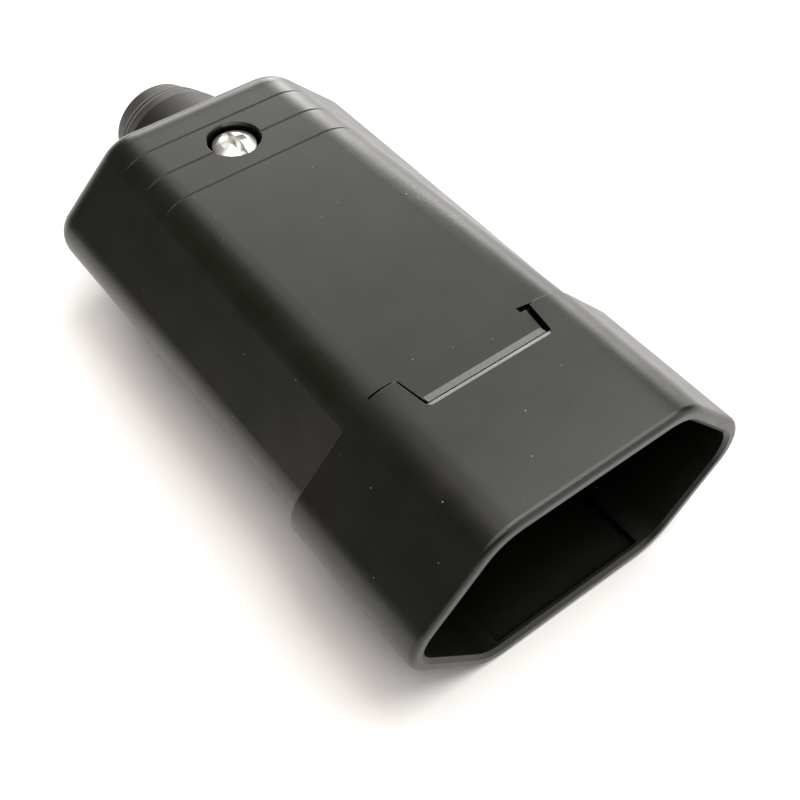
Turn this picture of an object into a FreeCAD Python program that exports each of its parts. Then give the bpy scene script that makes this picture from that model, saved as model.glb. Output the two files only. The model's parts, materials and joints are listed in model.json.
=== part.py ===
import FreeCAD, Part
import math
import os
from collections import namedtuple

V = FreeCAD.Vector

# Rewirable female power connector for a round three-core cord. Lengths are in millimetres.
# It is modelled with the centre of its mouth at the origin, +Y towards the cord and the latch
# side up. The last step moves it to rest on z = 0 with the middle of its length at y = 0.

# A cross-section is an elongated hexagon: its side vertices lie at x = +-vertex, its flat top and
# bottom end at x = +-flat, z = +-height, and its corners are rounded.
Hexagon = namedtuple("Hexagon", "vertex flat height round_vertex round_flat")

# Collar and mouth
COLLAR_FLAT = 11.3
COLLAR_ROUND_VERTEX = 4.9
COLLAR_ROUND_FLAT = 6.5
COLLAR_LENGTH = 18.3
COLLAR_WALL = 1.62
STEP_EDGE = 0.15
RIM_ROUND_OUTER = 0.65
RIM_EDGE_INNER = 0.4
RECESS_DEPTH = 12.0
FLOOR = 2.5
GUIDE_HALF_WIDTH = 9.2
GUIDE_DEPTH = 0.6
GUIDE_START = 0.8

# Rear cover, from the parting line to its rear face
STEP_TOP = 0.44
STEP_VERTEX = 2.1
BODY_FLAT = 11.95
BODY_ROUND_VERTEX = 3.8
BODY_ROUND_FLAT = 5.8
BODY_LENGTH = 49.6
BODY_TAIL = 4.0
TAPER_TOP = 1.08
TAPER_VERTEX = -1.05
TAPER_FLAT = 1.5
BODY_END_ROUND = 3.3
COVER_WALL = 1.6
COVER_END_WALL = 2.2
PARTING_GAP = 0.06
SECTION_PITCH = 8.0

# Skirt of the shroud inside the cover
SKIRT_WALL = 1.4
SKIRT_REACH = 7.6
SKIRT_GAP = 0.1

# Snap tongues of the cover, in notches of the collar
NOTCH_TIP_HALF_WIDTH = 7.35
NOTCH_ROOT_HALF_WIDTH = 7.92
NOTCH_LENGTH = 3.8
NOTCH_DEPTH = 1.85
TONGUE_SIDE_GAP = 0.45
TONGUE_TIP_GAP = 0.1
TONGUE_UNDER_GAP = 0.1
TONGUE_OVERLAP = 1.2
RAMP_ON_COLLAR = 0.45
RAMP_ON_TONGUE = 0.85
RAMP_DROP = 0.18
BARB_HALF_WIDTH = 6.0
BARB_FROM_TIP = 0.6
BARB_LENGTH = 1.2
BARB_DEPTH = 0.5
BARB_ROOT = 0.3
BARB_GAP = 0.1
RELIEF_INSIDE = 1.15
RELIEF_OUTSIDE = 1.0
RELIEF_FRONT = 0.3
RELIEF_BACK = 0.45
RELIEF_DEPTH = 0.75
SIDE_GAP_START = 8.05
SIDE_GAP_END = 10.7
SIDE_GAP_WIDTH = 0.35
SIDE_GAP_DEPTH = 0.7

# Grip grooves across the top of the cover
GROOVE_COUNT = 3
GROOVE_FROM_END = 6.3
GROOVE_PITCH = 4.55
GROOVE_WIDTH = 0.36
GROOVE_DEPTH = 0.2
GROOVE_FADE = 0.05

# Cable bushing and its seat in the cover's end wall
CORD_BORE_R = 3.6
BUSHING_R = 7.35
BUSHING_BARREL = 4.1
BUSHING_BEVEL = 1.8
BUSHING_BEVEL_DROP = 0.6
BUSHING_CONE = 3.6
BUSHING_CONE_DROP = 1.2
BUSHING_NECK_HALF_WIDTH = 4.9
BUSHING_NECK_GAP = 0.1
BUSHING_FLANGE_HALF_WIDTH = 6.3
BUSHING_FLANGE = 1.6

# Cord grip
GRIP_FROM_END = 10.1
WELL_R = 2.98
WELL_DEPTH = 3.1
WELL_EDGE = 0.12
GRIP_HEAD_SINK = 0.15
GRIP_WEB = 0.8
GRIP_NUT_WIDTH = 5.5
GRIP_NUT_HEIGHT = 1.8
GRIP_NUT_GAP = 0.05
GRIP_LIP = 0.5
GRIP_BOSS_HALF_WIDTH = 6.2
GRIP_BOSS_LENGTH = 8.6
GRIP_SCREW_LENGTH = 5.15
SADDLE_HALF_WIDTH = 4.6
SADDLE_LENGTH = 7.0
SADDLE_GAP = 0.15
SADDLE_CROWN = 1.5
SADDLE_LEG = 3.0
SADDLE_SOCKET = 0.5
SADDLE_TOOTH = 0.4
SADDLE_TOOTH_WIDTH = 0.8
CORD_R = 3.1
CRADLE_RIB = 1.2
CRADLE_PITCH = 5.0
CRADLE_HALF_WIDTH = 6.0
CRADLE_SHOULDER = 1.4

# Contacts: three pins of 4 mm diameter, 19 mm long, line and neutral 19 mm apart
PIN_R = 2.0
PIN_LENGTH = 19.0
PIN_SPACING = 19.0
EARTH_OFFSET = 3.0
PIN_ENTRY_R = 2.3
PIN_FIT = 0.03
PIN_TIP_GAP = 0.5
SLEEVE_WALL = 0.45
SLEEVE_LENGTH = 11.3
SLEEVE_SLIT = 0.5
SLEEVE_SLIT_LENGTH = 8.5
SLEEVE_START_GAP = 0.2
TERMINAL_WIDTH = 6.0
WIRE_HOLE_R = 1.6
TERMINAL_SCREW_FROM_END = 2.4
TERMINAL_LENGTH = 10.0
CLIP_WALL = 0.5
CLIP_LENGTH = 2.4
CLIP_FROM_TIP = 1.0
CLIP_SLIT = 0.8
CLIP_GAP = 0.02
PRESSURE_PLATE = 0.5
PRESSURE_PLATE_LENGTH = 2.8
PRESSURE_PLATE_WIDTH = 2.2

# Carrier, retainer and their screws
CARRIER_ROOF = 1.51
CARRIER_SIDE = 3.95
CARRIER_GAP = 0.15
BLOCK_GAP = 0.1
WINDOW_HALF_WIDTH = 2.0
RETAINER = 1.8
WIRE_ENTRY_HALF_WIDTH = 1.9
CARRIER_SCREW_Z = -4.2
CARRIER_SCREW_R = 1.4
CARRIER_SCREW_HEAD_R = 2.4
CARRIER_SCREW_HEAD = 1.6
CARRIER_SCREW_END_GAP = 1.3
CARRIER_BOSS_R = 2.3
CARRIER_BOSS_LENGTH = 5.0
BOSS_GAP = 0.1

# Machine screws
SCREW_R = 1.5
SCREW_GAP = 0.05
THROUGH_GAP = 0.2
GRIP_HEAD_R = 2.45
GRIP_HEAD = 1.8
GRIP_HEAD_DOME = 0.65
TERMINAL_SCREW_LENGTH = 4.0
TERMINAL_SCREW_LIFT = 0.6
TERMINAL_SLOT = 0.6
TERMINAL_SLOT_DEPTH = 0.8
DRIVE_SLOT = 0.85
DRIVE_SLOT_DEPTH = 0.7
CROSS_WIDTH = 1.0
CROSS_REACH = 1.5
CROSS_DEPTH = 1.1

# The collar's height and width follow from the contacts and the walls round them
SKIRT_DEPTH = COVER_WALL + SKIRT_GAP
CARRIER_DEPTH = SKIRT_DEPTH + SKIRT_WALL + CARRIER_GAP
BLOCK_POCKET = TERMINAL_WIDTH / 2 + BLOCK_GAP
COLLAR = Hexagon(
    vertex=PIN_SPACING / 2 + BLOCK_POCKET + CARRIER_SIDE + CARRIER_DEPTH + STEP_VERTEX,
    flat=COLLAR_FLAT,
    height=EARTH_OFFSET + BLOCK_POCKET + CARRIER_ROOF + CARRIER_DEPTH + STEP_TOP,
    round_vertex=COLLAR_ROUND_VERTEX,
    round_flat=COLLAR_ROUND_FLAT,
)

# Places worked out from the sizes
PARTING_Y = COLLAR_LENGTH
BODY_END_Y = COLLAR_LENGTH + BODY_LENGTH
TAIL_Y = BODY_END_Y - BODY_TAIL
FLOOR_BACK_Y = RECESS_DEPTH + FLOOR
NOTCH_FRONT_Y = PARTING_Y - NOTCH_LENGTH
TONGUE_TIP_Y = NOTCH_FRONT_Y + TONGUE_TIP_GAP
SKIRT_END_Y = PARTING_Y + SKIRT_REACH
PIN_TIP_Y = RECESS_DEPTH + PIN_LENGTH
SLEEVE_START_Y = FLOOR_BACK_Y + SLEEVE_START_GAP
SLEEVE_END_Y = SLEEVE_START_Y + SLEEVE_LENGTH
TERMINAL_END_Y = SLEEVE_END_Y + TERMINAL_LENGTH
TERMINAL_SCREW_Y = TERMINAL_END_Y - TERMINAL_SCREW_FROM_END
RETAINER_END_Y = TERMINAL_END_Y + RETAINER
CARRIER_SCREW_LENGTH = RETAINER_END_Y - FLOOR_BACK_Y - CARRIER_SCREW_END_GAP
GRIP_Y = BODY_END_Y - GRIP_FROM_END
BUSHING_LENGTH = BUSHING_BARREL + BUSHING_BEVEL + BUSHING_CONE
OVERALL_LENGTH = BODY_END_Y + BUSHING_LENGTH
SLEEVE_BORE_R = PIN_R + PIN_FIT
SLEEVE_HALF_WIDTH = SLEEVE_BORE_R + SLEEVE_WALL
CONTACTS = {
    "line": (PIN_SPACING / 2, 0.0),
    "neutral": (-PIN_SPACING / 2, 0.0),
    "earth": (0.0, EARTH_OFFSET),
}
FAR = 100.0


# Sections

def inset(hexagon, depth):
    """The hexagon with every side moved inwards by depth, or outwards where depth is negative."""
    run = hexagon.vertex - hexagon.flat
    slant = math.hypot(run, hexagon.height)
    vertex = hexagon.vertex - depth * slant / hexagon.height
    height = hexagon.height - depth
    flat = vertex - height * run / hexagon.height
    round_vertex = max(hexagon.round_vertex - depth, 0.5)
    round_flat = max(hexagon.round_flat - depth, 0.5)
    return Hexagon(vertex, flat, height, round_vertex, round_flat)


def sharp(hexagon):
    """The hexagon without its corner rounds, for surfaces that stay out of sight."""
    return hexagon._replace(round_vertex=0, round_flat=0)


def body_section(y):
    """The rear cover's outer section, which tapers evenly as far as the straight tail."""
    share = (min(y, TAIL_Y) - PARTING_Y) / (TAIL_Y - PARTING_Y)
    return Hexagon(
        vertex=COLLAR.vertex - STEP_VERTEX - TAPER_VERTEX * share,
        flat=BODY_FLAT - TAPER_FLAT * share,
        height=COLLAR.height - STEP_TOP - TAPER_TOP * share,
        round_vertex=BODY_ROUND_VERTEX,
        round_flat=BODY_ROUND_FLAT,
    )


def hexagon_wire(hexagon, y):
    """The hexagon as a closed wire in the plane at y."""
    corners = [
        (hexagon.vertex, 0.0, hexagon.round_vertex),
        (hexagon.flat, hexagon.height, hexagon.round_flat),
        (-hexagon.flat, hexagon.height, hexagon.round_flat),
        (-hexagon.vertex, 0.0, hexagon.round_vertex),
        (-hexagon.flat, -hexagon.height, hexagon.round_flat),
        (hexagon.flat, -hexagon.height, hexagon.round_flat),
    ]
    if hexagon.round_flat == 0:
        return Part.makePolygon([V(x, y, z) for x, z, radius in corners + corners[:1]])
    arcs = []
    for index, (x, z, radius) in enumerate(corners):
        here = V(x, y, z)
        before = V(corners[index - 1][0], y, corners[index - 1][1])
        after = V(corners[(index + 1) % 6][0], y, corners[(index + 1) % 6][1])
        to_before = (before - here).normalize()
        to_after = (after - here).normalize()
        half_angle = to_before.getAngle(to_after) / 2
        tangent = radius / math.tan(half_angle)
        middle = (to_before + to_after).normalize() * (radius / math.sin(half_angle) - radius)
        arcs.append((here + to_before * tangent, here + middle, here + to_after * tangent))
    edges = []
    for index, (start, middle, end) in enumerate(arcs):
        edges.append(Part.Arc(start, middle, end).toShape())
        edges.append(Part.LineSegment(end, arcs[(index + 1) % 6][0]).toShape())
    return Part.Wire(edges)


def straight(hexagon, y0, y1):
    """A bar of constant section from y0 to y1."""
    return Part.Face(hexagon_wire(hexagon, y0)).extrude(V(0, y1 - y0, 0))


def tapered(section_at, y0, y1):
    """A bar whose section at each y is given by a function."""
    count = math.ceil((y1 - y0) / SECTION_PITCH)
    places = [y0 + (y1 - y0) * i / count for i in range(count + 1)]
    return Part.makeLoft([hexagon_wire(section_at(y), y) for y in places], True, True)


# Plain helpers

def box(x0, x1, y0, y1, z0, z1):
    return Part.makeBox(x1 - x0, y1 - y0, z1 - z0, V(x0, y0, z0))


def rod_y(x, z, radius, y0, y1):
    return Part.makeCylinder(radius, y1 - y0, V(x, y0, z), V(0, 1, 0))


def rod_z(x, y, radius, z0, z1):
    return Part.makeCylinder(radius, z1 - z0, V(x, y, z0), V(0, 0, 1))


def edges_at_y(shape, y):
    return [e for e in shape.Edges if all(abs(v.Point.y - y) < 1e-4 for v in e.Vertexes)]


def both_sides(shape):
    """The shape with its mirror image below the middle plane."""
    return [shape, shape.mirror(V(0, 0, 0), V(0, 0, 1))]


def extrude_profile(points, x0, x1):
    """A bar along x whose section is a polygon of (y, z) points."""
    wire = Part.makePolygon([V(x0, y, z) for y, z in points + points[:1]])
    return Part.Face(wire).extrude(V(x1 - x0, 0, 0))


def extrude_plan(points, z0, z1):
    """A block whose outline from above is a polygon of (x, y) points."""
    wire = Part.makePolygon([V(x, y, z0) for x, y in points + points[:1]])
    return Part.Face(wire).extrude(V(0, 0, z1 - z0))


def octagon_y(z, radius, y0, y1):
    """An eight-sided bar along y that just holds a round one of this radius."""
    corner = radius / math.cos(math.pi / 8)
    angles = [math.pi / 8 + math.pi / 4 * i for i in range(9)]
    wire = Part.makePolygon([V(corner * math.cos(a), y0, z + corner * math.sin(a)) for a in angles])
    return Part.Face(wire).extrude(V(0, y1 - y0, 0))


# Front shroud

def collar_blank():
    """The collar's outside, with its rounded rim and the fine bevel of its rear edge."""
    edge_y = PARTING_Y - STEP_EDGE
    blank = straight(COLLAR, 0, edge_y)
    blank = blank.makeFillet(RIM_ROUND_OUTER, edges_at_y(blank, 0))
    bevel = Part.makeLoft([hexagon_wire(COLLAR, edge_y),
                           hexagon_wire(inset(COLLAR, STEP_EDGE), PARTING_Y)], True, True)
    return blank.fuse(bevel)


def skirt_section(depth):
    """A section at some depth in the skirt's bar, which fits the cover at both of the skirt's ends."""
    front = body_section(PARTING_Y)
    back = body_section(SKIRT_END_Y)
    return sharp(inset(front._replace(flat=back.flat, height=back.height), depth))


def mouth_recess():
    inner = inset(COLLAR, COLLAR_WALL)
    recess = straight(inner, 0, RECESS_DEPTH)
    edge = Part.makeLoft([hexagon_wire(inset(inner, -RIM_EDGE_INNER), 0),
                          hexagon_wire(inner, RIM_EDGE_INNER)], True, True)
    guide = box(-GUIDE_HALF_WIDTH, GUIDE_HALF_WIDTH, GUIDE_START, RECESS_DEPTH,
                inner.height - 1, inner.height + GUIDE_DEPTH)
    return recess.multiFuse([edge] + both_sides(guide))


def notch_half_width(y):
    """Half the width of the tongue's notch, which narrows towards the front."""
    share = (PARTING_Y - y) / NOTCH_LENGTH
    return NOTCH_ROOT_HALF_WIDTH + (NOTCH_TIP_HALF_WIDTH - NOTCH_ROOT_HALF_WIDTH) * share


def notch_block(y0, y1, gap, z0, z1):
    """A block that fills the notch from y0 to y1 but for a gap at each side."""
    front = notch_half_width(y0) - gap
    back = notch_half_width(y1) - gap
    return extrude_plan([(-front, y0), (front, y0), (back, y1), (-back, y1)], z0, z1)


def ramp_cut(top):
    """The cut that leaves a ramp in front of the notch, with slanting ends."""
    start_y = NOTCH_FRONT_Y - RAMP_ON_COLLAR
    wide = NOTCH_TIP_HALF_WIDTH
    narrow = NOTCH_TIP_HALF_WIDTH - RAMP_ON_COLLAR
    wedge = extrude_profile([
        (start_y, COLLAR.height),
        (NOTCH_FRONT_Y, COLLAR.height - RAMP_DROP),
        (NOTCH_FRONT_Y, top),
        (start_y, top),
    ], -wide, wide)
    plan = [(-narrow, start_y), (narrow, start_y), (wide, NOTCH_FRONT_Y), (-wide, NOTCH_FRONT_Y)]
    return wedge.common(extrude_plan(plan, COLLAR.height - RAMP_DROP, top))


def tongue_notch():
    """The notch for one tongue, with the pocket for its barb and the ramp at its front."""
    top = COLLAR.height + 1
    floor = COLLAR.height - NOTCH_DEPTH
    notch = notch_block(NOTCH_FRONT_Y, PARTING_Y + 1, 0, floor, top)
    barb_front = TONGUE_TIP_Y + BARB_FROM_TIP - BARB_GAP
    barb_back = TONGUE_TIP_Y + BARB_FROM_TIP + BARB_LENGTH + BARB_GAP
    barb_pocket = box(-BARB_HALF_WIDTH - BARB_GAP, BARB_HALF_WIDTH + BARB_GAP, barb_front, barb_back,
                      floor - BARB_DEPTH, floor + 1)
    return notch.multiFuse([barb_pocket, ramp_cut(top)])


def root_relief():
    """The shallow pocket across the root of the upper tongue's right slot."""
    root = NOTCH_ROOT_HALF_WIDTH
    return extrude_plan([
        (root - RELIEF_INSIDE, PARTING_Y - RELIEF_FRONT),
        (root, PARTING_Y - RELIEF_FRONT),
        (root + RELIEF_OUTSIDE, PARTING_Y + PARTING_GAP),
        (root - RELIEF_INSIDE, PARTING_Y + RELIEF_BACK),
    ], body_section(PARTING_Y).height - RELIEF_DEPTH, COLLAR.height + 1)


def front_shroud():
    shroud = collar_blank().fuse(straight(skirt_section(SKIRT_DEPTH), PARTING_Y - 1, SKIRT_END_Y))
    shroud = shroud.cut(mouth_recess())
    shroud = shroud.cut(straight(skirt_section(SKIRT_DEPTH + SKIRT_WALL), FLOOR_BACK_Y, SKIRT_END_Y + 1))
    shroud = shroud.fuse(rod_y(0, CARRIER_SCREW_Z, CARRIER_BOSS_R, FLOOR_BACK_Y - 1,
                               FLOOR_BACK_Y + CARRIER_BOSS_LENGTH))
    cuts = both_sides(tongue_notch()) + [root_relief()]
    cuts.append(rod_y(0, CARRIER_SCREW_Z, CARRIER_SCREW_R + SCREW_GAP, FLOOR_BACK_Y, FLOOR_BACK_Y + FAR))
    for x, z in CONTACTS.values():
        cuts.append(rod_y(x, z, PIN_ENTRY_R, RECESS_DEPTH - 1, FLOOR_BACK_Y + 1))
    for tool in cuts:
        shroud = shroud.cut(tool)
    return shroud.removeSplitter()


# Rear cover

def tongue():
    """The upper snap tongue: a strip at the cover's own level with a raised lip and a barb."""
    root = PARTING_Y + TONGUE_OVERLAP
    under = COLLAR.height - NOTCH_DEPTH + TONGUE_UNDER_GAP
    strip = tapered(body_section, TONGUE_TIP_Y, root).common(
        notch_block(TONGUE_TIP_Y, root, TONGUE_SIDE_GAP, under, COLLAR.height))
    low = body_section(TONGUE_TIP_Y + RAMP_ON_TONGUE).height
    half = notch_half_width(TONGUE_TIP_Y) - TONGUE_SIDE_GAP
    lip = extrude_profile([
        (TONGUE_TIP_Y, under),
        (TONGUE_TIP_Y, COLLAR.height - RAMP_DROP),
        (TONGUE_TIP_Y + RAMP_ON_TONGUE, low),
        (TONGUE_TIP_Y + RAMP_ON_TONGUE, under),
    ], -half, half)
    barb_y = TONGUE_TIP_Y + BARB_FROM_TIP
    barb = extrude_profile([
        (barb_y, under + BARB_ROOT),
        (barb_y, under),
        (barb_y + BARB_LENGTH / 2, under - BARB_DEPTH),
        (barb_y + BARB_LENGTH, under - BARB_DEPTH),
        (barb_y + BARB_LENGTH, under + BARB_ROOT),
    ], -BARB_HALF_WIDTH, BARB_HALF_WIDTH)
    return strip.multiFuse([lip, barb])


def side_gap():
    """The open part of the parting line beside the upper tongue's left slot."""
    surface = body_section(PARTING_Y).height
    return box(-SIDE_GAP_END, -SIDE_GAP_START, PARTING_Y, PARTING_Y + SIDE_GAP_WIDTH,
               surface - SIDE_GAP_DEPTH, surface + 1)


def groove(y):
    """One V groove across the top, which runs out on the sloping sides."""
    section = body_section(y)
    slope = (section.vertex - section.flat) / section.height
    wires = []
    for offset, rise in ((-1, 1), (0, -1), (1, 1)):
        height = section.height + rise * GROOVE_DEPTH
        vertex = section.vertex + GROOVE_FADE + (rise + 1) * GROOVE_DEPTH
        core = section._replace(vertex=vertex, height=height, flat=vertex - height * slope)
        wires.append(hexagon_wire(core, y + offset * GROOVE_WIDTH))
    y0 = y - GROOVE_WIDTH
    y1 = y + GROOVE_WIDTH
    slab = box(-section.vertex, section.vertex, y0, y1, 0, section.height + GROOVE_DEPTH / 2)
    return slab.cut(Part.makeLoft(wires, True, True))


def grip_heights():
    """Heights of the cord grip's stack at the screw, from the outside surface down."""
    surface = body_section(GRIP_Y).height
    well_floor = surface - WELL_DEPTH
    nut_top = well_floor - GRIP_WEB - GRIP_NUT_GAP
    nut_bottom = nut_top - GRIP_NUT_HEIGHT
    boss_bottom = nut_bottom - GRIP_NUT_GAP - GRIP_LIP
    head_bottom = surface - GRIP_HEAD_SINK - GRIP_HEAD
    tip = head_bottom - GRIP_SCREW_LENGTH
    saddle_top = tip + SADDLE_SOCKET
    return surface, well_floor, nut_top, nut_bottom, boss_bottom, head_bottom, saddle_top


def grip_boss():
    """The block under the screw well, which holds the nut and guides the saddle."""
    surface, well_floor, nut_top, nut_bottom, boss_bottom, head_bottom, saddle_top = grip_heights()
    y0 = GRIP_Y - GRIP_BOSS_LENGTH / 2
    y1 = GRIP_Y + GRIP_BOSS_LENGTH / 2
    guide_bottom = saddle_top - SADDLE_LEG
    channel = SADDLE_HALF_WIDTH + SADDLE_GAP
    boss = box(-GRIP_BOSS_HALF_WIDTH, GRIP_BOSS_HALF_WIDTH, y0, y1, guide_bottom,
               surface - COVER_WALL / 2)
    boss = boss.cut(box(-channel, channel, y0 - 1, y1 + 1, guide_bottom - 1, boss_bottom))
    half_nut = GRIP_NUT_WIDTH / 2 + GRIP_NUT_GAP
    return boss.cut(box(-half_nut, half_nut, y0 - 1, GRIP_Y + half_nut,
                        nut_bottom - GRIP_NUT_GAP, nut_top + GRIP_NUT_GAP))


def cradle_ribs():
    """Two ribs on the lower wall with a seat for the cord."""
    saddle_top = grip_heights()[-1]
    axis_z = saddle_top - SADDLE_CROWN - CORD_R
    ribs = []
    for side in (-1, 1):
        middle = GRIP_Y + side * CRADLE_PITCH / 2
        rib = box(-CRADLE_HALF_WIDTH, CRADLE_HALF_WIDTH, middle - CRADLE_RIB / 2,
                  middle + CRADLE_RIB / 2, -body_section(middle).height + COVER_WALL / 2,
                  axis_z - CORD_R + CRADLE_SHOULDER)
        ribs.append(rib.cut(octagon_y(axis_z, CORD_R, middle - CRADLE_RIB, middle + CRADLE_RIB)))
    return ribs


def cover_hollow(y):
    return sharp(inset(body_section(y), COVER_WALL))


def rear_cover():
    tail = straight(body_section(TAIL_Y), TAIL_Y, BODY_END_Y)
    tail = tail.makeFillet(BODY_END_ROUND, edges_at_y(tail, BODY_END_Y))
    outer = tapered(body_section, PARTING_Y, TAIL_Y).fuse(tail)
    front_gap = box(-FAR, FAR, PARTING_Y - 1, PARTING_Y + PARTING_GAP, -FAR, FAR)
    shell = outer.cut(front_gap)
    shell = shell.cut(tapered(cover_hollow, PARTING_Y - 1, BODY_END_Y - COVER_END_WALL))
    shell = shell.multiFuse([grip_boss()] + cradle_ribs() + both_sides(tongue()))
    surface, well_floor = grip_heights()[:2]
    cuts = [root_relief(), side_gap()]
    cuts += [groove(BODY_END_Y - GROOVE_FROM_END - i * GROOVE_PITCH) for i in range(GROOVE_COUNT)]
    cuts.append(rod_z(0, GRIP_Y, WELL_R, well_floor, surface + 1))
    cuts.append(Part.makeCone(WELL_R, WELL_R + 2 * WELL_EDGE, 2 * WELL_EDGE,
                              V(0, GRIP_Y, surface - WELL_EDGE), V(0, 0, 1)))
    cuts.append(rod_z(0, GRIP_Y, SCREW_R + THROUGH_GAP, -1, well_floor + 1))
    neck = BUSHING_NECK_HALF_WIDTH + BUSHING_NECK_GAP
    cuts.append(box(-neck, neck, BODY_END_Y - COVER_END_WALL - 1, BODY_END_Y + 1, -neck, neck))
    for tool in cuts:
        shell = shell.cut(tool)
    return shell.removeSplitter()


# Cable bushing

def cable_bushing():
    """The stepped sleeve, with a square neck and flange that keep it from turning in the cover."""
    wall_inside = BODY_END_Y - COVER_END_WALL
    flange_y = wall_inside - BUSHING_FLANGE
    bevel_y = BODY_END_Y + BUSHING_BARREL
    cone_r = BUSHING_R - BUSHING_BEVEL_DROP
    profile = [
        (0, BODY_END_Y),
        (BUSHING_R, BODY_END_Y),
        (BUSHING_R, bevel_y),
        (cone_r, bevel_y + BUSHING_BEVEL),
        (cone_r - BUSHING_CONE_DROP, OVERALL_LENGTH),
        (0, OVERALL_LENGTH),
    ]
    wire = Part.makePolygon([V(r, y, 0) for r, y in profile + profile[:1]])
    sleeve = Part.Face(wire).revolve(V(0, 0, 0), V(0, 1, 0), 360)
    neck = BUSHING_NECK_HALF_WIDTH
    flange = BUSHING_FLANGE_HALF_WIDTH
    sleeve = sleeve.multiFuse([
        box(-neck, neck, flange_y, BODY_END_Y + 1, -neck, neck),
        box(-flange, flange, flange_y, wall_inside, -flange, flange),
    ])
    return sleeve.cut(rod_y(0, 0, CORD_BORE_R, flange_y - 1, OVERALL_LENGTH + 1)).removeSplitter()


# Cord grip

def cord_grip_screw():
    """A screw with a slightly domed head, a cross recess and a slot along y."""
    edge = GRIP_HEAD - GRIP_HEAD_DOME
    sphere_r = (GRIP_HEAD_R ** 2 + GRIP_HEAD_DOME ** 2) / (2 * GRIP_HEAD_DOME)
    half_r = GRIP_HEAD_R / 2
    half_h = GRIP_HEAD - sphere_r + math.sqrt(sphere_r ** 2 - half_r ** 2)
    arc = Part.Arc(V(GRIP_HEAD_R, 0, edge), V(half_r, 0, half_h), V(0, 0, GRIP_HEAD)).toShape()
    outline = Part.makePolygon([V(0, 0, GRIP_HEAD), V(0, 0, -GRIP_SCREW_LENGTH),
                                V(SCREW_R, 0, -GRIP_SCREW_LENGTH), V(SCREW_R, 0, 0),
                                V(GRIP_HEAD_R, 0, 0), V(GRIP_HEAD_R, 0, edge)])
    screw = Part.Face(Part.Wire(outline.Edges + [arc])).revolve(V(0, 0, 0), V(0, 0, 1), 360)
    top = GRIP_HEAD + 1
    cuts = [
        box(-DRIVE_SLOT / 2, DRIVE_SLOT / 2, -GRIP_HEAD_R, GRIP_HEAD_R, GRIP_HEAD - DRIVE_SLOT_DEPTH, top),
        box(-CROSS_WIDTH / 2, CROSS_WIDTH / 2, -CROSS_REACH, CROSS_REACH, GRIP_HEAD - CROSS_DEPTH, top),
        box(-CROSS_REACH, CROSS_REACH, -CROSS_WIDTH / 2, CROSS_WIDTH / 2, GRIP_HEAD - CROSS_DEPTH, top),
    ]
    for tool in cuts:
        screw = screw.cut(tool)
    screw.translate(V(0, GRIP_Y, grip_heights()[5]))
    return screw


def cord_grip_nut():
    nut_top, nut_bottom = grip_heights()[2:4]
    half = GRIP_NUT_WIDTH / 2
    nut = box(-half, half, GRIP_Y - half, GRIP_Y + half, nut_bottom, nut_top)
    return nut.cut(rod_z(0, GRIP_Y, SCREW_R + SCREW_GAP, nut_bottom - 1, nut_top + 1))


def cord_grip_saddle():
    """A bridge whose underside fits round the cord, with teeth and a socket for the screw's tip."""
    top = grip_heights()[-1]
    y0 = GRIP_Y - SADDLE_LENGTH / 2
    y1 = GRIP_Y + SADDLE_LENGTH / 2
    axis_z = top - SADDLE_CROWN - CORD_R
    saddle = box(-SADDLE_HALF_WIDTH, SADDLE_HALF_WIDTH, y0, y1, top - SADDLE_LEG, top)
    saddle = saddle.cut(octagon_y(axis_z, CORD_R + SADDLE_TOOTH, y0 - 1, y1 + 1))
    teeth = []
    for side in (-1, 0, 1):
        middle = GRIP_Y + side * CRADLE_PITCH / 2
        tooth = octagon_y(axis_z, CORD_R + SADDLE_TOOTH + SADDLE_GAP, middle - SADDLE_TOOTH_WIDTH / 2,
                          middle + SADDLE_TOOTH_WIDTH / 2)
        tooth = tooth.cut(octagon_y(axis_z, CORD_R, y0 - 1, y1 + 1))
        teeth.append(tooth.common(box(-CORD_R, CORD_R, y0, y1, top - SADDLE_LEG, top)))
    saddle = saddle.multiFuse(teeth)
    return saddle.cut(rod_z(0, GRIP_Y, SCREW_R + SCREW_GAP, top - SADDLE_SOCKET, top + 1))


# Contacts

def contact(x, z):
    """A slit square sleeve that grips the pin, in one piece with the terminal block behind it."""
    sleeve = SLEEVE_HALF_WIDTH
    block = TERMINAL_WIDTH / 2
    slit = SLEEVE_SLIT / 2
    body = box(x - sleeve, x + sleeve, SLEEVE_START_Y, SLEEVE_END_Y, z - sleeve, z + sleeve).fuse(
        box(x - block, x + block, SLEEVE_END_Y, TERMINAL_END_Y, z - block, z + block))
    cuts = [
        rod_y(x, z, SLEEVE_BORE_R, SLEEVE_START_Y - 1, PIN_TIP_Y + PIN_TIP_GAP),
        box(x - sleeve - 1, x + sleeve + 1, SLEEVE_START_Y - 1, SLEEVE_START_Y + SLEEVE_SLIT_LENGTH,
            z - slit, z + slit),
        rod_y(x, z, WIRE_HOLE_R, TERMINAL_SCREW_Y - WIRE_HOLE_R - SCREW_GAP, TERMINAL_END_Y + 1),
        rod_z(x, TERMINAL_SCREW_Y, SCREW_R + SCREW_GAP, z, z + block + 1),
    ]
    for tool in cuts:
        body = body.cut(tool)
    return body


def spring_clip(x, z):
    """A split square clip of spring steel round the sleeve's slit end."""
    y0 = SLEEVE_START_Y + CLIP_FROM_TIP
    y1 = y0 + CLIP_LENGTH
    inner = SLEEVE_HALF_WIDTH + CLIP_GAP
    outer = inner + CLIP_WALL
    clip = box(x - outer, x + outer, y0, y1, z - outer, z + outer)
    clip = clip.cut(box(x - inner, x + inner, y0 - 1, y1 + 1, z - inner, z + inner))
    return clip.cut(box(x - CLIP_SLIT / 2, x + CLIP_SLIT / 2, y0 - 1, y1 + 1, z - FAR, z))


def terminal_tip(z):
    """Height of the terminal screw's tip."""
    return z + TERMINAL_WIDTH / 2 + TERMINAL_SCREW_LIFT - TERMINAL_SCREW_LENGTH


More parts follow.
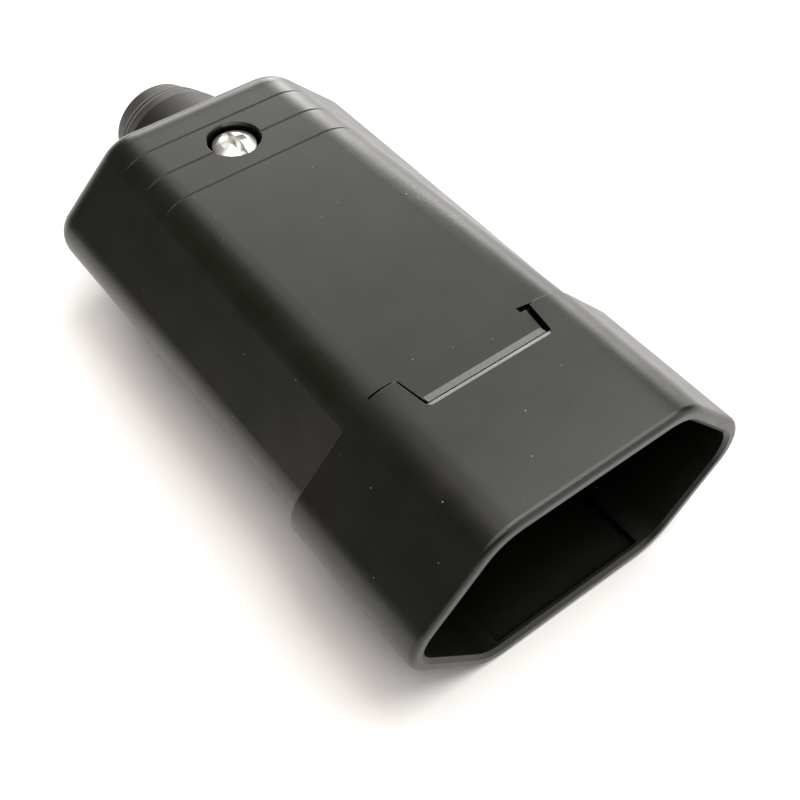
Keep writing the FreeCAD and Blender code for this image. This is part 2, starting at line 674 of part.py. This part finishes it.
def terminal_screw(x, z):
    """A headless screw with a slot in its top end."""
    tip = terminal_tip(z)
    top = tip + TERMINAL_SCREW_LENGTH
    screw = rod_z(x, TERMINAL_SCREW_Y, SCREW_R, tip, top)
    return screw.cut(box(x - SCREW_R, x + SCREW_R, TERMINAL_SCREW_Y - TERMINAL_SLOT / 2,
                         TERMINAL_SCREW_Y + TERMINAL_SLOT / 2, top - TERMINAL_SLOT_DEPTH, top + 1))


def pressure_plate(x, z):
    """A small plate under the screw's tip, which spares the strands of the wire."""
    top = terminal_tip(z)
    half_x = PRESSURE_PLATE_WIDTH / 2
    half_y = PRESSURE_PLATE_LENGTH / 2
    return box(x - half_x, x + half_x, TERMINAL_SCREW_Y - half_y, TERMINAL_SCREW_Y + half_y,
               top - PRESSURE_PLATE, top)


# Carrier and retainer

def carrier_bar(y0, y1):
    """A bar that fits inside the skirt, with the hole for the carrier's screw."""
    bar = straight(skirt_section(CARRIER_DEPTH), y0, y1)
    return bar.cut(rod_y(0, CARRIER_SCREW_Z, CARRIER_SCREW_R + THROUGH_GAP, y0 - 1, y1 + 1))


def contact_carrier():
    """The block behind the floor, with a channel for each contact and a window over each screw."""
    carrier = carrier_bar(FLOOR_BACK_Y, TERMINAL_END_Y)
    half = BLOCK_POCKET
    window = WINDOW_HALF_WIDTH
    cuts = [rod_y(0, CARRIER_SCREW_Z, CARRIER_BOSS_R + BOSS_GAP, FLOOR_BACK_Y - 1,
                  FLOOR_BACK_Y + CARRIER_BOSS_LENGTH + BOSS_GAP)]
    for x, z in CONTACTS.values():
        cuts.append(box(x - half, x + half, FLOOR_BACK_Y - 1, TERMINAL_END_Y + 1, z - half, z + half))
        cuts.append(box(x - window, x + window, TERMINAL_SCREW_Y - window, TERMINAL_SCREW_Y + window, z, FAR))
    for tool in cuts:
        carrier = carrier.cut(tool)
    return carrier


def contact_retainer():
    """The plate that keeps the contacts in their channels, with an entry for each wire."""
    plate = carrier_bar(TERMINAL_END_Y, RETAINER_END_Y)
    half = WIRE_ENTRY_HALF_WIDTH
    for x, z in CONTACTS.values():
        plate = plate.cut(box(x - half, x + half, TERMINAL_END_Y - 1, RETAINER_END_Y + 1, z - half, z + half))
    return plate


def carrier_screw():
    """A slotted screw through the retainer and the carrier into the shroud's boss."""
    head_y = RETAINER_END_Y + CARRIER_SCREW_HEAD
    screw = rod_y(0, CARRIER_SCREW_Z, CARRIER_SCREW_HEAD_R, RETAINER_END_Y, head_y)
    screw = screw.fuse(rod_y(0, CARRIER_SCREW_Z, CARRIER_SCREW_R, RETAINER_END_Y - CARRIER_SCREW_LENGTH,
                             RETAINER_END_Y))
    return screw.cut(box(-CARRIER_SCREW_HEAD_R, CARRIER_SCREW_HEAD_R, head_y - DRIVE_SLOT_DEPTH, head_y + 1,
                         CARRIER_SCREW_Z - DRIVE_SLOT / 2, CARRIER_SCREW_Z + DRIVE_SLOT / 2))


def all_nodes():
    nodes = {
        "front_shroud": front_shroud(),
        "rear_cover": rear_cover(),
        "cable_bushing": cable_bushing(),
        "cord_grip_screw": cord_grip_screw(),
        "cord_grip_nut": cord_grip_nut(),
        "cord_grip_saddle": cord_grip_saddle(),
        "contact_carrier": contact_carrier(),
        "contact_retainer": contact_retainer(),
        "carrier_screw": carrier_screw(),
    }
    for name, (x, z) in CONTACTS.items():
        nodes[name + "_contact"] = contact(x, z)
        nodes[name + "_spring_clip"] = spring_clip(x, z)
        nodes[name + "_terminal_screw"] = terminal_screw(x, z)
        nodes[name + "_pressure_plate"] = pressure_plate(x, z)
    return nodes


os.makedirs("parts", exist_ok=True)
for name, shape in all_nodes().items():
    shape.translate(V(0, -OVERALL_LENGTH / 2, COLLAR.height))
    shape.exportStep("parts/" + name + ".step")
    print(name, shape.isValid(), len(shape.Solids), round(shape.Volume, 1))
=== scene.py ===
import json
import math

import bpy
from mathutils import Matrix, Vector


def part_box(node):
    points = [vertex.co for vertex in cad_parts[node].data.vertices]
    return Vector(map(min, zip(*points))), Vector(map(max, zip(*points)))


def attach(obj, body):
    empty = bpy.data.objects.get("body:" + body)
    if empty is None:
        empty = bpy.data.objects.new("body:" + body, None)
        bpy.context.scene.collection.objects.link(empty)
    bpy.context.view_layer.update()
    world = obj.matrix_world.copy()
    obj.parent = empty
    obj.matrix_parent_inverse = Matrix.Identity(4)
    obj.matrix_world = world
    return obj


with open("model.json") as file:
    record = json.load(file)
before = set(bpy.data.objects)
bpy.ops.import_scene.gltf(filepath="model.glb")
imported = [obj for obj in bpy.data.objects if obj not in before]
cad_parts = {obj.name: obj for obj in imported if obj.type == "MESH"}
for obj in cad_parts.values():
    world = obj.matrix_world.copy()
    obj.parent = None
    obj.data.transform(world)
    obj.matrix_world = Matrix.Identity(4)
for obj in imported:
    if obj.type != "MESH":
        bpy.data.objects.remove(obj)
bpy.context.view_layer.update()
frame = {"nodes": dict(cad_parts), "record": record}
nodes = frame["nodes"]
MM = 0.001

# The photograph's camera, solved from the outlines of the collar and the body
PHOTO_SIZE_PX = 800
FOCAL_PX = 1170.84
SENSOR_MM = 36.0
CAMERA_AT_MM = Vector((-48.21, -36.04, 90.39))
CAMERA_RIGHT = Vector((0.79446032, -0.60729023, -0.00560161))
CAMERA_DOWN = Vector((-0.47082038, -0.61005121, -0.63731130))
CAMERA_FORWARD = Vector((0.38361568, 0.50895589, -0.77058609))

# Where the mouth's centre lies in the frame: the collar's front face and half its height
collar_low, collar_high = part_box("front_shroud")
MOUTH = Vector((0, collar_low.y, (collar_low.z + collar_high.z) / 2))

# The two fine beads round the bushing, in metres. The first lies behind the cover's rear face and
# in from the barrel's radius, and the second behind the first and in from it.
BEAD_AT = 5.9 * MM
BEAD_DROP = 0.6 * MM
BEAD_GAP = 1.0 * MM
BEAD_GAP_DROP = 0.33 * MM
BEAD = 0.075 * MM
BEAD_STEPS = 128
BEAD_SIDES = 10

# How far behind the mouth the painted highlight on the ramps of the latch reaches at most
RAMP_REACH = 16.0 * MM

# The worn patch, whose pale specks paint glints as well as scuffs: its middle from the mouth's
# centre, its half lengths and its turn about the vertical
SCUFF_AT = (11.0 * MM, 35.0 * MM, 10.3 * MM)
SCUFF_REACH = (1.7 * MM, 10.0 * MM, 1.7 * MM)
SCUFF_TURN = math.radians(6.5)

# Scales of the textures, in features to the metre
TONE_SCALE = 90
FLOW_SCALE = 260
GRAIN_SCALE = 5200
SCUFF_SCALE = 9000
COARSE_DUST_SCALE = 800.0
FINE_DUST_SCALE = 1500.0
RUBBER_TONE_SCALE = 150
RUBBER_GRAIN_SCALE = 3800
METAL_TONE_SCALE = 700
FLOOR_TONE_SCALE = 4

# Depths of the textures, the break of the plastic's edges, and how far the painted shade reaches
# in a narrow gap and in the mouth's hollow
GRAIN_DEPTH = 0.05 * MM
FLOW_DEPTH = 0.4 * MM
RUBBER_GRAIN_DEPTH = 0.06 * MM
METAL_GRAIN_DEPTH = 0.03 * MM
EDGE_BREAK = 0.06 * MM
GAP_REACH = 3.0 * MM
MOUTH_REACH = 30.0 * MM

# Colours, as linear values
PLASTIC = (0.0046, 0.0054, 0.0028)
PLASTIC_WARM = (0.0066, 0.0060, 0.0040)
RUBBER = (0.0056, 0.0049, 0.0036)
RUBBER_WORN = 1.25
# A light colour on the two beads that paints the highlight they catch
BEAD_PAINTED_HIGHLIGHT = (0.15, 0.14, 0.125)
# A painted highlight on the latch's ramps, which face the light
RAMP_PAINTED_HIGHLIGHT = (0.065, 0.066, 0.065)
INNER = (0.007, 0.007, 0.0065)
# Painted shade: near black, put by ambient occlusion into gaps, slots and the mouth's hollow
PAINTED_SHADE = (0.0008, 0.0008, 0.0007)
DUST = (0.62, 0.60, 0.56)
ZINC = (0.86, 0.85, 0.82)
ZINC_DULL = (0.76, 0.75, 0.72)
SPRING = (0.50, 0.50, 0.50)
SPRING_DULL = (0.40, 0.40, 0.41)
BRASS = (0.78, 0.56, 0.25)
BRASS_DULL = (0.66, 0.45, 0.19)
FLOOR = (0.86, 0.85, 0.85)
FLOOR_SHADE = 0.985
WORLD = (1.0, 0.97, 0.90)
WORLD_STRENGTH = 0.08

# In metres
FLOOR_HALF_SIZE = 3.0

# Area lights: name, place, height of the point that it faces, size, power in watts and colour
LIGHTS = (
    ("window", (0.53, 1.04, 0.33), 0.01, (0.75, 0.36), 5.2, (1.0, 0.975, 0.95)),
    ("haze", (0.53, 0.73, 0.93), 0.01, (1.2, 0.75), 3.4, (0.985, 1.0, 0.93)),
    ("overhead", (0.5, -0.1, 1.1), 0, (1.0, 1.0), 13.5, (0.99, 1.0, 0.97)),
    ("ceiling", (-0.2, -0.2, 1.3), 0, (1.2, 1.2), 15.0, (1.0, 0.94, 0.905)),
    ("side", (0.98, 0.77, 0.2), 0.01, (0.9, 0.4), 5.0, (1.0, 0.99, 0.98)),
    ("front", (0.55, -0.8, 0.5), 0.01, (1.0, 1.0), 4.0, (1.0, 0.99, 0.97)),
)


class Graph:
    """A material's node tree, with short calls to add and link nodes."""

    def __init__(self, name):
        self.material = bpy.data.materials.new(name)
        self.material.use_nodes = True
        self.tree = self.material.node_tree
        self.tree.nodes.clear()
        self.output = self.add("ShaderNodeOutputMaterial")
        self.shader = self.add("ShaderNodeBsdfPrincipled")
        self.link(self.shader.outputs["BSDF"], self.output.inputs["Surface"])
        self.place = self.add("ShaderNodeTexCoord").outputs["Object"]

    def add(self, kind, **settings):
        """A node, with its inputs or its own settings given by name."""
        node = self.tree.nodes.new(kind)
        for key, value in settings.items():
            if key in node.inputs:
                node.inputs[key].default_value = value
            else:
                setattr(node, key, value)
        return node

    def link(self, source, target):
        self.tree.links.new(source, target)

    def axes(self, vector):
        """The separate x, y and z of a vector."""
        node = self.add("ShaderNodeSeparateXYZ")
        self.link(vector, node.inputs["Vector"])
        return node.outputs

    def noise(self, scale, detail=3.0, roughness=0.5, stretch=None):
        """Noise whose features are about 1 / scale metres across."""
        node = self.add("ShaderNodeTexNoise", Scale=scale, Detail=detail, Roughness=roughness)
        source = self.place
        if stretch:
            mapping = self.add("ShaderNodeMapping", Scale=stretch)
            self.link(source, mapping.inputs["Vector"])
            source = mapping.outputs["Vector"]
        self.link(source, node.inputs["Vector"])
        return node.outputs["Fac"]

    def spread(self, value, low, high, to_low=0.0, to_high=1.0):
        """Maps low..high onto to_low..to_high, clamped."""
        node = self.add("ShaderNodeMapRange")
        for key, number in (("From Min", low), ("From Max", high),
                            ("To Min", to_low), ("To Max", to_high)):
            node.inputs[key].default_value = number
        self.link(value, node.inputs["Value"])
        return node.outputs["Result"]

    def maths(self, operation, a, b):
        node = self.add("ShaderNodeMath", operation=operation)
        for slot, value in zip(node.inputs, (a, b)):
            if isinstance(value, (int, float)):
                slot.default_value = value
            else:
                self.link(value, slot)
        return node.outputs["Value"]

    def blend(self, factor, a, b):
        """A colour between a and b."""
        node = self.add("ShaderNodeMix", data_type="RGBA")
        self.link(factor, node.inputs["Factor"])
        for slot, value in ((node.inputs["A"], a), (node.inputs["B"], b)):
            if isinstance(value, tuple):
                slot.default_value = (*value, 1.0)
            else:
                self.link(value, slot)
        return node.outputs["Result"]

    def bump(self, height, strength, distance, normal=None):
        node = self.add("ShaderNodeBump", Strength=strength, Distance=distance)
        self.link(height, node.inputs["Height"])
        if normal:
            self.link(normal, node.inputs["Normal"])
        return node.outputs["Normal"]

    def soft_edges(self, radius):
        """Normals that round every edge by a small radius."""
        return self.add("ShaderNodeBevel", samples=6, Radius=radius).outputs["Normal"]

    def hollows(self, distance, low, high, only_local=False):
        """1 on open surfaces and 0 in hollows, of this piece alone or of all pieces together."""
        node = self.add("ShaderNodeAmbientOcclusion", samples=6, only_local=only_local,
                        Distance=distance)
        return self.spread(node.outputs["AO"], low, high)

    def finish(self, colour, roughness=None, normal=None):
        """Links what varies to the shader and gives the material."""
        for key, value in (("Base Color", colour), ("Roughness", roughness), ("Normal", normal)):
            if value is not None:
                self.link(value, self.shader.inputs[key])
        return self.material


def dust(g, colour, scale, share, strength):
    """Adds specks of white dust, sitting in some of the cells of a Voronoi pattern."""
    specks = g.add("ShaderNodeTexVoronoi", Scale=scale)
    g.link(g.place, specks.inputs["Vector"])
    picked = g.add("ShaderNodeSeparateColor")
    g.link(specks.outputs["Color"], picked.inputs["Color"])
    near = g.spread(specks.outputs["Distance"], 0.03, 0.06, strength, 0.0)
    chosen = g.maths("LESS_THAN", picked.outputs["Red"], share)
    size = g.maths("MULTIPLY", g.maths("MULTIPLY", near, chosen), picked.outputs["Green"])
    return g.blend(size, colour, DUST)


def scuff_and_glints(g, colour):
    """Adds a worn patch of fine pale specks on the rounding above the right chamfer: scuffs and
    painted glints.
    """
    mapping = g.add("ShaderNodeMapping", vector_type="TEXTURE", Location=MOUTH + Vector(SCUFF_AT),
                    Rotation=(0, 0, SCUFF_TURN), Scale=SCUFF_REACH)
    g.link(g.place, mapping.inputs["Vector"])
    reach = g.add("ShaderNodeVectorMath", operation="LENGTH")
    g.link(mapping.outputs["Vector"], reach.inputs[0])
    patch = g.spread(reach.outputs["Value"], 0.3, 1.0, 1.0, 0.0)
    specks = g.spread(g.noise(SCUFF_SCALE, detail=1), 0.60, 0.72, 0.0, 0.4)
    return g.blend(g.maths("MULTIPLY", patch, specks), colour, DUST)


def latch_ramp_highlight_mask(g):
    """1 on the ramps of the latch and its notch, which face up and to the rear near the mouth:
    where their painted highlight goes.
    """
    facing = g.axes(g.add("ShaderNodeNewGeometry").outputs["True Normal"])
    tilted = g.spread(facing["Y"], 0.1, 0.16)
    upward = g.maths("GREATER_THAN", facing["Z"], 0.5)
    near = g.maths("LESS_THAN", g.axes(g.place)["Y"], MOUTH.y + RAMP_REACH)
    return g.maths("MULTIPLY", g.maths("MULTIPLY", tilted, upward), near)


def moulded_plastic(name, base, warm, dusty):
    """Satin black plastic with a fine spark-eroded grain, faint flow marks, a painted highlight
    on the latch's ramps and, where it is dusty, a little white dust and one worn patch whose pale
    specks also paint glints. Shade is painted black deep in hollows, which are also smoother
    there."""
    g = Graph(name)
    g.shader.inputs["IOR"].default_value = 1.5
    colour = g.blend(g.spread(g.noise(TONE_SCALE, detail=2), 0.35, 0.7), base, warm)
    # Paints a highlight on the latch's ramps
    colour = g.blend(latch_ramp_highlight_mask(g), colour, RAMP_PAINTED_HIGHLIGHT)
    # Painted shade: black in narrow gaps and slots between the pieces, then deep in the mouth's
    # hollow
    colour = g.blend(g.hollows(GAP_REACH, 0.15, 0.75), PAINTED_SHADE, colour)
    deep = g.hollows(MOUTH_REACH, 0.2, 0.6, only_local=True)
    colour = g.blend(deep, PAINTED_SHADE, colour)
    if dusty:
        colour = dust(g, colour, COARSE_DUST_SCALE, 0.35, 0.8)
        colour = dust(g, colour, FINE_DUST_SCALE, 0.12, 0.35)
        # Pale specks on one patch: scuffs, and painted glints too
        colour = scuff_and_glints(g, colour)
    grain = g.noise(GRAIN_SCALE, detail=4, roughness=0.65)
    flow = g.noise(FLOW_SCALE, detail=2)
    roughness = g.maths("ADD", g.spread(grain, 0.3, 0.7, 0.29, 0.37),
                        g.spread(flow, 0.3, 0.7, -0.02, 0.03))
    roughness = g.maths("MINIMUM", roughness, g.spread(deep, 0.0, 1.0, 0.16, 0.5))
    normal = g.bump(grain, 0.10, GRAIN_DEPTH, g.soft_edges(EDGE_BREAK))
    normal = g.bump(flow, 0.06, FLOW_DEPTH, normal)
    return g.finish(colour, roughness, normal)


def rubber(name, base):
    """Matt rubber with a soft grain."""
    g = Graph(name)
    grain = g.noise(RUBBER_GRAIN_SCALE, detail=4, roughness=0.7)
    worn = tuple(RUBBER_WORN * c for c in base)
    colour = g.blend(g.spread(g.noise(RUBBER_TONE_SCALE), 0.35, 0.7), base, worn)
    return g.finish(colour, g.spread(grain, 0.3, 0.7, 0.48, 0.6),
                    g.bump(grain, 0.14, RUBBER_GRAIN_DEPTH))


def metal(name, bright, dull, smooth, rough, grain_scale, stretch=None):
    """Bare metal in two tones, with a grain that may run along one axis."""
    g = Graph(name)
    g.shader.inputs["Metallic"].default_value = 1.0
    grain = g.noise(grain_scale, detail=4, roughness=0.6, stretch=stretch)
    colour = g.blend(g.spread(g.noise(METAL_TONE_SCALE), 0.3, 0.75), bright, dull)
    return g.finish(colour, g.spread(grain, 0.3, 0.7, smooth, rough),
                    g.bump(grain, 0.15, METAL_GRAIN_DEPTH))


def make_mesh_object(name, points, faces, material):
    mesh = bpy.data.meshes.new(name)
    mesh.from_pydata(points, [], faces)
    mesh.materials.append(material)
    piece = bpy.data.objects.new(name, mesh)
    bpy.context.scene.collection.objects.link(piece)
    return piece


def bead(name, y, radius, thickness, material):
    """A fine moulded bead round the bushing, half sunk in its surface."""
    around = [2 * math.pi * i / BEAD_STEPS for i in range(BEAD_STEPS)]
    across = [2 * math.pi * i / BEAD_SIDES for i in range(BEAD_SIDES)]
    points = []
    for a in around:
        for b in across:
            reach = radius + thickness * math.cos(b)
            points.append((reach * math.cos(a), y + thickness * math.sin(b),
                           MOUTH.z + reach * math.sin(a)))
    faces = []
    for i in range(BEAD_STEPS):
        near, far = i * BEAD_SIDES, (i + 1) % BEAD_STEPS * BEAD_SIDES
        for j in range(BEAD_SIDES):
            after = (j + 1) % BEAD_SIDES
            faces.append((near + j, near + after, far + after, far + j))
    piece = make_mesh_object(name, points, faces, material)
    piece.data.shade_smooth()
    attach(piece, "root")


def make_beads(material):
    """Two beads, at the rear edge of the bushing's bevel and just behind it on the cone."""
    barrel_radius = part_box("cable_bushing")[1].x
    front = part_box("rear_cover")[1].y + BEAD_AT
    radius = barrel_radius - BEAD_DROP
    bead("front_bead", front, radius, BEAD, material)
    bead("rear_bead", front + BEAD_GAP, radius - BEAD_GAP_DROP, BEAD, material)


def dress(materials):
    """Gives each CAD node the material of its slot in the record."""
    slots = {row["node"]: row["material_slot"] for row in frame["record"]["subparts"]}
    for name, obj in nodes.items():
        obj.data.materials.clear()
        obj.data.materials.append(materials[slots[name]])


def floor_material():
    """Matt and nearly white, with a faint change of tone."""
    g = Graph("pale_floor")
    g.shader.inputs["Roughness"].default_value = 0.6
    g.shader.inputs["Specular IOR Level"].default_value = 0.2
    shade = tuple(FLOOR_SHADE * c for c in FLOOR)
    return g.finish(g.blend(g.spread(g.noise(FLOOR_TONE_SCALE), 0.3, 0.7), FLOOR, shade))


def make_floor():
    half = FLOOR_HALF_SIZE
    corners = [(-half, -half, 0), (half, -half, 0), (half, half, 0), (-half, half, 0)]
    floor = make_mesh_object("floor", corners, [(0, 1, 2, 3)], floor_material())


def area_light(name, at, aim_height, size, power, colour):
    """A rectangular light that faces a point above the frame's origin."""
    data = bpy.data.lights.new(name, "AREA")
    data.shape = "RECTANGLE"
    data.size, data.size_y = size
    data.energy = power
    data.color = colour
    lamp = bpy.data.objects.new(name, data)
    lamp.location = at
    facing = Vector((0, 0, aim_height)) - Vector(at)
    lamp.rotation_euler = facing.to_track_quat("-Z", "Y").to_euler()
    bpy.context.scene.collection.objects.link(lamp)


def make_light():
    """A dim warm surround and the area lights."""
    world = bpy.data.worlds.new("studio")
    bpy.context.scene.world = world
    world.use_nodes = True
    background = world.node_tree.nodes["Background"]
    background.inputs["Color"].default_value = (*WORLD, 1)
    background.inputs["Strength"].default_value = WORLD_STRENGTH
    for row in LIGHTS:
        area_light(*row)


def make_camera():
    """The photograph's camera, placed from the mouth's centre."""
    data = bpy.data.cameras.new("photo_camera")
    data.sensor_width = SENSOR_MM
    data.lens = FOCAL_PX * SENSOR_MM / PHOTO_SIZE_PX
    data.clip_start = 0.005
    data.clip_end = 20
    camera = bpy.data.objects.new("photo_camera", data)
    columns = Matrix((CAMERA_RIGHT, -CAMERA_DOWN, -CAMERA_FORWARD)).transposed()
    camera.matrix_world = Matrix.Translation(MOUTH + CAMERA_AT_MM * MM) @ columns.to_4x4()
    bpy.context.scene.collection.objects.link(camera)
    bpy.context.scene.camera = camera


# The beads' light rubber colour is a painted highlight
make_beads(rubber("bead_painted_highlight", BEAD_PAINTED_HIGHLIGHT))
dress({
    "black_plastic": moulded_plastic("black_plastic", PLASTIC, PLASTIC_WARM, True),
    "black_rubber": rubber("black_rubber", RUBBER),
    "inner_plastic": moulded_plastic("inner_plastic", INNER, PLASTIC, False),
    "plated_steel": metal("plated_steel", ZINC, ZINC_DULL, smooth=0.30, rough=0.42,
                          grain_scale=2600),
    "spring_steel": metal("spring_steel", SPRING, SPRING_DULL, smooth=0.25, rough=0.4,
                          grain_scale=1800, stretch=(1, 8, 1)),
    "brass": metal("brass", BRASS, BRASS_DULL, smooth=0.2, rough=0.36,
                   grain_scale=1500, stretch=(6, 1, 1)),
})
make_floor()
make_light()
make_camera()
bpy.context.scene.view_settings.view_transform = "Standard"
